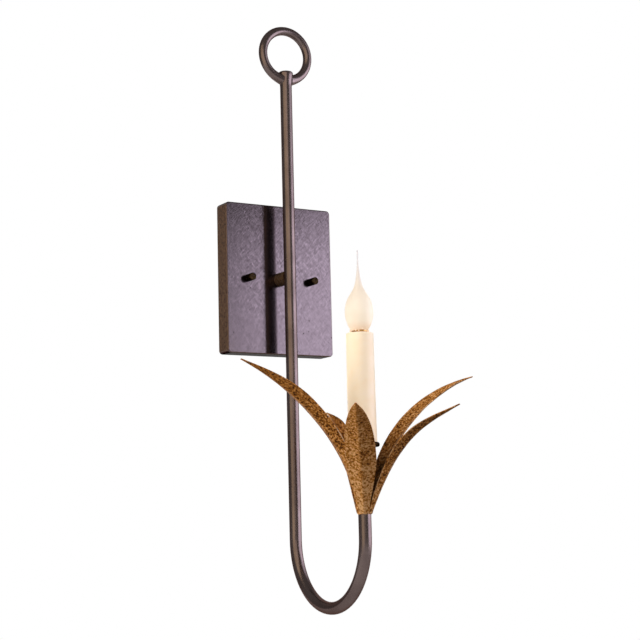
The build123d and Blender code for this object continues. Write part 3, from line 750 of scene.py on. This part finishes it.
on_strip = {0: product(side, half), 1: product(t, DENT_STRIP), 2: given["Seed"]}
dent_noise = add(tree, "ShaderNodeTexNoise", {
    "Vector": add(tree, "ShaderNodeCombineXYZ", on_strip)[0],
    "Scale": calc(tree, "DIVIDE", 1.0, given["Dent Size"]), "Detail": 2.0,
})["Fac"]
dent = product(calc(tree, "SUBTRACT", dent_noise, NOISE_MEAN), given["Dents"])
lift = calc(tree, "ADD", calc(tree, "ADD", fold, dent), product(given["Thickness"], 0.5))
moved = total_of(((middle, 1.0), (ACROSS, product(side, half)), (inward, lift)))
turned_round = add(tree, "ShaderNodeVectorRotate", {
    "Vector": moved, "Axis": (0, 0, 1), "Angle": given["Azimuth"],
})[0]
on_candle = calc_vector(tree, "ADD", turned_round, given["Centre"])
print("leaf tree:", len(tree.nodes), "nodes with width, crease and dents")

# %% [markdown]
# The moved grid is the leaf's inner face. It is extruded to the thickness of the sheet, turned over and
# joined to the outer face, so that the leaf is closed. The numbers that the finish reads are stored on
# the way, and the inner face is marked as such.

# %% The leaf tree: thickness
SAME_POINT = 1e-6


def stored(mesh, name, value):
    """A mesh of the leaf tree with a number stored at its points."""
    inputs = {"Geometry": mesh, "Name": name, "Value": value}
    return add(leaf_tree, "GeometryNodeStoreNamedAttribute", inputs)[0]


marked = stored(sheet, "leaf_along", t)
marked = stored(marked, "leaf_side", side)
# the tone, partly painted shade, is stored for the finish
marked = stored(marked, "leaf_tone", given["Tone"])
inner = add(tree, "GeometryNodeSetPosition", {"Geometry": marked, "Position": on_candle})[0]
outer = add(tree, "GeometryNodeExtrudeMesh", {
    "Mesh": inner, "Offset Scale": given["Thickness"], "Individual": False,
})["Mesh"]
flipped = stored(add(tree, "GeometryNodeFlipFaces", {"Mesh": inner})[0], "leaf_inside", 1.0)
both = join(tree, outer, flipped)
closed = add(tree, "GeometryNodeMergeByDistance", {"Geometry": both, "Distance": SAME_POINT})[0]
end_tree(tree, closed, given["Material"])
print("leaf tree:", len(tree.nodes), "nodes in all")

# %% [markdown]
# The six leaves differ in the way they point, in their reach and rise, and in how far their curve is
# pulled at the foot and at the tip. These sizes are the same as in the CAD part, and the last number, the
# tone, belongs to the look alone: it is partly the tone of the paint and partly painted shade, lower on
# the leaves that stand in shade and higher on the lit front leaf. The tips end a little early, so that no
# leaf passes the CAD part's box.

# %% Make the six leaves
LEAF_FOOT = (7.35, -254.0)
# azimuth in degrees; tip, pull at the foot, pull at the tip and half width in mm; widest place; tone,
# partly painted shade
LEAF_SHAPES = {
    "leaf_left": (180, (132, 145), (2, 56), (72, 32), 14, 0.67, -0.04),
    "leaf_right": (0, (134, 137), (12, 76), (38, 12), 14.5, 0.5, -0.01),
    "leaf_near_right": (-60, (105, 99), (29, 67), (46, 21), 10.5, 0.55, -0.02),
    "leaf_front": (-125, (100, 98), (38, 69), (8, 8), 14.5, 0.3, 0.032),
    "leaf_back_left": (115, (42, 100), (18.5, 75.5), (15.5, 12), 11, 0.62, -0.03),
    "leaf_back_right": (55, (42, 100), (18.5, 75.5), (15.5, 12), 11, 0.62, -0.015),
}
LEAF_DISH, TIP_TRIM = radians(20), 0.15
EDGE_ROUND, EDGE_STEPS, EDGE_ANGLE = 0.3 * MM, 2, radians(50)


def upright_point(reach, rise):
    """A point of a leaf's curve, in metres, before the leaf is turned round the candle."""
    return (reach * MM, 0, rise * MM)


for number, (name, shape) in enumerate(LEAF_SHAPES.items()):
    azimuth, tip, foot_pull, tip_pull, half_width, widest, tone = shape
    tip_reach, tip_rise = tip[0] - TIP_TRIM, LEAF_FOOT[1] + (tip[1] - TIP_TRIM)
    leaf = new_piece(name + "_sheet")
    run_tree(
        leaf, leaf_tree, azimuth=radians(azimuth), centre=(0, CANDLE_Y, 0), foot=upright_point(*LEAF_FOOT),
        foot_handle=upright_point(LEAF_FOOT[0] + foot_pull[0], LEAF_FOOT[1] + foot_pull[1]),
        tip_handle=upright_point(tip_reach - tip_pull[0], tip_rise - tip_pull[1]),
        tip=upright_point(tip_reach, tip_rise), half_width=half_width * MM, widest=widest,
        seed=float(number), dish=LEAF_DISH, tone=tone, material=leaf_gold,
    )
    bevel = leaf.modifiers.new("edge", "BEVEL")
    bevel.width = EDGE_ROUND
    bevel.segments = EDGE_STEPS
    bevel.limit_method = "ANGLE"
    bevel.angle_limit = EDGE_ANGLE
    make_plain(leaf)
    set_in_frame(leaf, "sconce", name, "leaf_bronze")

# %% [markdown]
# ## The ring at the top
# A round bar is bent to a ring and its two ends are welded to the sides of the tube. The welds show as
# small shoulders, so the bar of this arc swells towards both ends. A geometry tree sweeps a circle
# along the arc and sets the swelling from the distance to the nearer end.

# %% The ring tree
ring_low, ring_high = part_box("top_ring")
BAR_RADIUS = (ring_high[1] - ring_low[1]) / 2
RING_RADIUS = (ring_high[0] - ring_low[0]) / 2 - BAR_RADIUS
RING_Z = ring_high[2] - BAR_RADIUS - RING_RADIUS
END_REACH = 0.75 * TUBE_RADIUS
WELD_SWELL, WELD_LENGTH = 0.35, 0.006
ARC_POINTS, BAR_SIDES = 129, 28
ring_tree, given = tree_with(
    "eye_ring", centre="Vector", ring_radius=0.027, bar_radius=0.0046, gap=0.2, swell=0.2,
    swell_length=0.005, material="Material",
)
tree = ring_tree
sweep = calc(tree, "SUBTRACT", 2 * pi, calc(tree, "MULTIPLY", given["Gap"], 2.0))
arc = add(tree, "GeometryNodeCurveArc", {
    "Resolution": ARC_POINTS, "Radius": given["Ring Radius"], "Start Angle": given["Gap"],
    "Sweep Angle": sweep,
})["Curve"]
gone = add(tree, "GeometryNodeSplineParameter")["Length"]
whole = add(tree, "GeometryNodeSplineLength")["Length"]
to_end = calc(tree, "MINIMUM", gone, calc(tree, "SUBTRACT", whole, gone))
lengths_away = calc(tree, "DIVIDE", to_end, given["Swell Length"])
near_end = calc(tree, "EXPONENT", calc(tree, "MULTIPLY", lengths_away, -1.0))
thickening = calc(tree, "MULTIPLY_ADD", near_end, given["Swell"], 1.0)
bar = add(tree, "GeometryNodeCurveToMesh", {
    "Curve": arc, "Profile Curve": circle(tree, BAR_SIDES, 1.0), "Fill Caps": True,
    "Scale": calc(tree, "MULTIPLY", thickening, given["Bar Radius"]),
})[0]
stood = add(tree, "GeometryNodeTransform", {
    "Geometry": bar, "Translation": given["Centre"], "Rotation": (0, pi / 2, pi / 2),
})[0]
end_tree(tree, stood, given["Material"])
ring = new_piece("eye_ring")
run_tree(
    ring, ring_tree, centre=(0, ARM_Y, RING_Z), ring_radius=RING_RADIUS, bar_radius=BAR_RADIUS,
    gap=END_REACH / RING_RADIUS, swell=WELD_SWELL, swell_length=WELD_LENGTH, material=arm_bronze,
)
make_plain(ring, 50)
set_in_frame(ring, "sconce", "top_ring", "dark_bronze")

# %% [markdown]
# ## Turned pieces
# The sleeve, the bulb and its base are round about the candle's axis, and the weld about the arm's. Each
# is a line of points, given as radius and height, turned round its axis. A smooth line through a few
# points gives the flame its shape, and a corner can be rounded by itself.

# %% Helpers for turned pieces
AROUND = 96


def turned(name, line, closed=False, axis_y=CANDLE_Y):
    """A piece made by turning a line of (radius, height) points, foot first, round an upright axis."""
    work = bmesh.new()
    rings = []
    for radius, height in line:
        count = AROUND if radius > 0 else 1
        turns = [2 * pi * k / AROUND for k in range(count)]
        rings.append([work.verts.new((radius * cos(a), axis_y + radius * sin(a), height)) for a in turns])
    following = rings[1:] + ([rings[0]] if closed else [])
    for low, high in zip(rings, following):
        for k in range(AROUND):
            after = (k + 1) % AROUND
            loop = (low[k % len(low)], low[after % len(low)], high[after % len(high)], high[k % len(high)])
            work.faces.new(dict.fromkeys(loop))
    mesh = bpy.data.meshes.new(name)
    work.to_mesh(mesh)
    work.free()
    return new_piece(name, mesh)


def smooth_line(points, steps=12):
    """Points on a smooth curve through the given ones; each piece is a Hermite curve."""
    ends = [Vector(p) for p in (points[0], *points, points[-1])]
    line = []
    for before, start, end, after in zip(ends, ends[1:], ends[2:], ends[3:]):
        leave, arrive = (end - before) / 2, (after - start) / 2
        for k in range(steps):
            t = k / steps
            shape = start * (2 * t**3 - 3 * t**2 + 1) + leave * (t**3 - 2 * t**2 + t)
            line.append(tuple(shape + end * (3 * t**2 - 2 * t**3) + arrive * (t**3 - t**2)))
    return line + [tuple(points[-1])]


def rounded_corner(corner, before, after, radius, steps=6):
    """Points that round one corner of a line, as a quadratic curve from one side to the other."""
    corner, before, after = Vector(corner), Vector(before), Vector(after)
    start = corner + (before - corner).normalized() * radius
    end = corner + (after - corner).normalized() * radius
    parts = [k / steps for k in range(steps + 1)]
    return [tuple(start * (1 - t) ** 2 + corner * 2 * t * (1 - t) + end * t**2) for t in parts]


print("turned pieces have", AROUND, "points around")

# %% [markdown]
# ## The welded top of the arm
# Where the ring is welded on, the metal has run together: the tube's end is a little thicker than the
# tube and has a rounded rim. One turned piece makes the plug and the weld as one. Its line is given in
# millimetres, as radius and height from the top.

# %% The weld cap
ARM_TOP_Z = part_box("arm_top_plug")[1][2]
WELD_SHAPE = ((6.3, -20.0), (6.5, -15.0), (7.3, -9.0), (7.9, -4.0))
RIM_TURN, CAP_CROWN = 0.0022, 0.0005
weld_line = [(r * MM, ARM_TOP_Z + h * MM) for r, h in smooth_line(WELD_SHAPE, 6)]
rim_corner = (weld_line[-1][0], ARM_TOP_Z - CAP_CROWN)
weld_line += rounded_corner(rim_corner, weld_line[-1], (0, ARM_TOP_Z), RIM_TURN) + [(0, ARM_TOP_Z)]
weld = turned("weld_cap", [(0, weld_line[0][1])] + weld_line, axis_y=ARM_Y)
weld.data.materials.append(arm_bronze)
make_plain(weld)
set_in_frame(weld, "sconce", "arm_top_plug", "dark_bronze")

# %% [markdown]
# ## The candle sleeve
# The sleeve is cast to look like a candle: a plain tube with a soft lip and the faint runs of wax. The
# tube is turned, and a geometry tree then moves its outside in and out by noise that is stretched
# downwards, as wax runs. The foot stays true, because it stands on the cup.

# %% The sleeve and its runs of wax
sleeve_low, sleeve_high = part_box("candle_sleeve")
SLEEVE_FOOT_Z, SLEEVE_TOP_Z = sleeve_low[2], sleeve_high[2]
SLEEVE_RADIUS = (sleeve_high[0] - sleeve_low[0]) / 2
SLEEVE_NARROWS, SLEEVE_BORE, LIP = 0.0005, 0.011, 0.0013
RUN_DEPTH, RUN_CREST = 0.0005, 0.8
FOOT_TRUE, FOOT_FREE = 0.001, 0.006
ROWS = 60
foot_out, top_out = (SLEEVE_RADIUS, SLEEVE_FOOT_Z), (SLEEVE_RADIUS - SLEEVE_NARROWS, SLEEVE_TOP_Z)
foot_in, top_in = (SLEEVE_BORE, SLEEVE_FOOT_Z), (SLEEVE_BORE, SLEEVE_TOP_Z)
wall = [tuple(Vector(foot_out).lerp(Vector(top_out), k / ROWS)) for k in range(ROWS)]
lip = rounded_corner(top_out, foot_out, top_in, LIP) + rounded_corner(top_in, top_out, foot_in, LIP)
sleeve = turned("wax_sleeve", wall + lip + [foot_in], closed=True)
wax_tree, given = tree_with(
    "wax_runs", tube="Geometry", depth=0.0005, width=0.006, stretch=6.0, foot=0.0, seed=3.0,
    material="Material",
)
tree = wax_tree
here = add(tree, "GeometryNodeInputPosition")[0]
drawn_out = calc(tree, "DIVIDE", 1.0, given["Stretch"])
squeeze = add(tree, "ShaderNodeCombineXYZ", {0: 1.0, 1: 1.0, 2: drawn_out})[0]
runs = add(tree, "ShaderNodeTexNoise", {
    "Vector": calc_vector(tree, "MULTIPLY", here, squeeze), "W": given["Seed"],
    "Scale": calc(tree, "DIVIDE", 1.0, given["Width"]), "Detail": 1.5,
}, noise_dimensions="4D")["Fac"]
above = calc(tree, "SUBTRACT", height_of(tree, here), given["Foot"])
free = mapped(tree, above, FOOT_TRUE, FOOT_FREE)
inset = calc(tree, "MULTIPLY", calc(tree, "SUBTRACT", runs, RUN_CREST), given["Depth"])
push = scaled(tree, add(tree, "GeometryNodeInputNormal")[0], calc(tree, "MULTIPLY", inset, free))
uneven = add(tree, "GeometryNodeSetPosition", {"Geometry": given["Tube"], "Offset": push})[0]
end_tree(tree, uneven, given["Material"])
run_tree(sleeve, wax_tree, depth=RUN_DEPTH, foot=SLEEVE_FOOT_Z, material=candle_wax)
make_plain(sleeve)
set_in_frame(sleeve, "sleeve", "candle_sleeve", "candle_cream")

# %% [markdown]
# ## The brazed ring under the leaves
# The six feet are brazed to the tube, and the filler metal has run into an uneven ring round it. It is
# turned like the sleeve and goes through the same tree of uneven noise, only finer and not stretched. Its
# line is in millimetres, as radius and height.

# %% The brazed ring
BRAZE_SHAPE = ((6.2, -255.4), (7.0, -255.3), (7.9, -254.2), (8.0, -252.6), (7.2, -250.6), (6.2, -250.2))
FAR_BELOW = -1.0
braze_line = [(r * MM, h * MM) for r, h in smooth_line(BRAZE_SHAPE, 5)]
braze = turned("braze_ring", braze_line, closed=True)
run_tree(
    braze, wax_tree, depth=0.0016, width=0.0022, stretch=1.0, foot=FAR_BELOW, seed=7.0, material=leaf_gold,
)
make_plain(braze)
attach(braze, "sconce")
print("brazed ring with", len(braze.data.polygons), "faces")

# %% [markdown]
# ## The flame
# The silicone coat is a flame that was drawn out to a long tip while it was soft. Its points are radii
# and heights above its foot, in millimetres, and the skin closes on the axis at the tip. At the foot the
# dip has torn off in small drops. They repeat round a circle, so a geometry tree sets them there, with
# random sizes from a fixed seed.

# %% The bulb's coat
FLAME = ((8.0, 0.0), (11.4, 5.3), (14.1, 16.5), (12.1, 29.5), (4.1, 44.5), (1.05, 63.5), (0.8, 79.6))
NECK_RADIUS, NECK_RISE = 0.0057, 0.0012
TIP_RADIUS, TIP_ROUND = 0.0005, 0.00015
DROPS_UP, DROPS_OUT = -0.0003, 0.009
SMALL_DROP, LARGE_DROP = 0.5, 1.05
flame_line = [(NECK_RADIUS, BULB_FOOT_Z + NECK_RISE), (NECK_RADIUS, BULB_FOOT_Z)]
flame_line += [(r * MM, BULB_FOOT_Z + h * MM) for r, h in smooth_line(FLAME)]
flame_line += [(TIP_RADIUS, BULB_TIP_Z - TIP_ROUND), (0, BULB_TIP_Z)]
flame = turned("flame_skin", flame_line)
drop_tree, given = tree_with(
    "torn_edge", skin="Geometry", foot="Vector", edge_radius=0.0085, drops=17, drop_size=0.0013,
    scatter=(0.0003, 0.0003, 0.001), seed=4, material="Material",
)
tree = drop_tree
torn_line = circle(tree, given["Drops"], given["Edge Radius"])
straying = add(tree, "FunctionNodeRandomValue", {
    "Min": scaled(tree, given["Scatter"], -1.0), "Max": given["Scatter"], "Seed": given["Seed"],
}, data_type="FLOAT_VECTOR")["Value"]
drop_offset = calc_vector(tree, "ADD", straying, given["Foot"])
drop_points = add(tree, "GeometryNodeSetPosition", {"Geometry": torn_line, "Offset": drop_offset})[0]
drop = add(tree, "GeometryNodeMeshIcoSphere", {"Radius": given["Drop Size"], "Subdivisions": 2})["Mesh"]
drop_scale = add(tree, "FunctionNodeRandomValue", {2: SMALL_DROP, 3: LARGE_DROP, "Seed": given["Seed"]})[1]
torn = add(tree, "GeometryNodeInstanceOnPoints", {
    "Points": drop_points, "Instance": drop, "Scale": drop_scale,
})[0]
end_tree(tree, join(tree, given["Skin"], torn), given["Material"])
run_tree(
    flame, drop_tree, foot=(0, CANDLE_Y, BULB_FOOT_Z + DROPS_UP), edge_radius=DROPS_OUT,
    material=silicone_dip,
)
make_plain(flame)
set_in_frame(flame, "bulb", "bulb_coat", "flame_silicone")

# %% [markdown]
# ## The screw base
# A candelabra base is a thin brass cup with a rolled thread and a collar. The cup is turned. Its thread
# is a helix, which a geometry tree makes as a spiral curve swept by a small circle and joins to the cup.

# %% The bulb's base and its thread
base_low, base_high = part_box("bulb_base")
BASE_FOOT_Z, BASE_TOP_Z = base_low[2], base_high[2]
COLLAR_RADIUS, COLLAR_HEIGHT, COLLAR_ROUND = (base_high[0] - base_low[0]) / 2, 0.0018, 0.0007
BASE_RADIUS, CUP_WALL = 0.00555, 0.0005
THREAD_RADIUS, PITCH, THREAD_TURNS = 0.0004, 0.00254, 3.6
TURN_STEPS, THREAD_SIDES = 40, 10
collar_foot_z = BASE_TOP_Z - COLLAR_HEIGHT
neck, mouth = (BASE_RADIUS, collar_foot_z), (BASE_RADIUS, BASE_TOP_Z)
collar_foot, collar_top = (COLLAR_RADIUS, collar_foot_z), (COLLAR_RADIUS, BASE_TOP_Z)
base_line = [(BASE_RADIUS - CUP_WALL, BASE_FOOT_Z), (BASE_RADIUS, BASE_FOOT_Z), neck]
base_line += rounded_corner(collar_foot, neck, collar_top, COLLAR_ROUND)
base_line += rounded_corner(collar_top, collar_foot, mouth, COLLAR_ROUND)
base_line += [(BASE_RADIUS - CUP_WALL, BASE_TOP_Z)]
base = turned("screw_base", base_line, closed=True)
thread_tree, given = tree_with(
    "screw_thread", cup="Geometry", foot="Vector", radius=0.0055, pitch=0.0025, turns=3.5,
    thread_radius=0.0004, material="Material",
)
tree = thread_tree
helix = add(tree, "GeometryNodeCurveSpiral", {
    "Resolution": TURN_STEPS, "Rotations": given["Turns"], "Start Radius": given["Radius"],
    "End Radius": given["Radius"], "Height": calc(tree, "MULTIPLY", given["Turns"], given["Pitch"]),
})["Curve"]
thread_section = circle(tree, THREAD_SIDES, given["Thread Radius"])
ridge = add(tree, "GeometryNodeCurveToMesh", {
    "Curve": helix, "Profile Curve": thread_section, "Fill Caps": True,
})[0]
raised = add(tree, "GeometryNodeTransform", {"Geometry": ridge, "Translation": given["Foot"]})[0]
end_tree(tree, join(tree, given["Cup"], raised), given["Material"])
run_tree(
    base, thread_tree, foot=(0, CANDLE_Y, BASE_FOOT_Z + PITCH / 2), radius=BASE_RADIUS, pitch=PITCH,
    turns=THREAD_TURNS, thread_radius=THREAD_RADIUS, material=brass,
)
make_plain(base, 40)
set_in_frame(base, "bulb", "bulb_base", "brass")

# %% [markdown]
# ## The sizes at the end
# The finished object's box is measured once more, and the print says how far it lies from the
# CAD part's box.

# %% Check the sizes and finish
visual_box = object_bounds()
apart = max(abs(c - v) for old, new in zip(cad_box, visual_box) for c, v in zip(old, new))
print(f"the boxes differ by {apart / MM:.2f} mm at most")
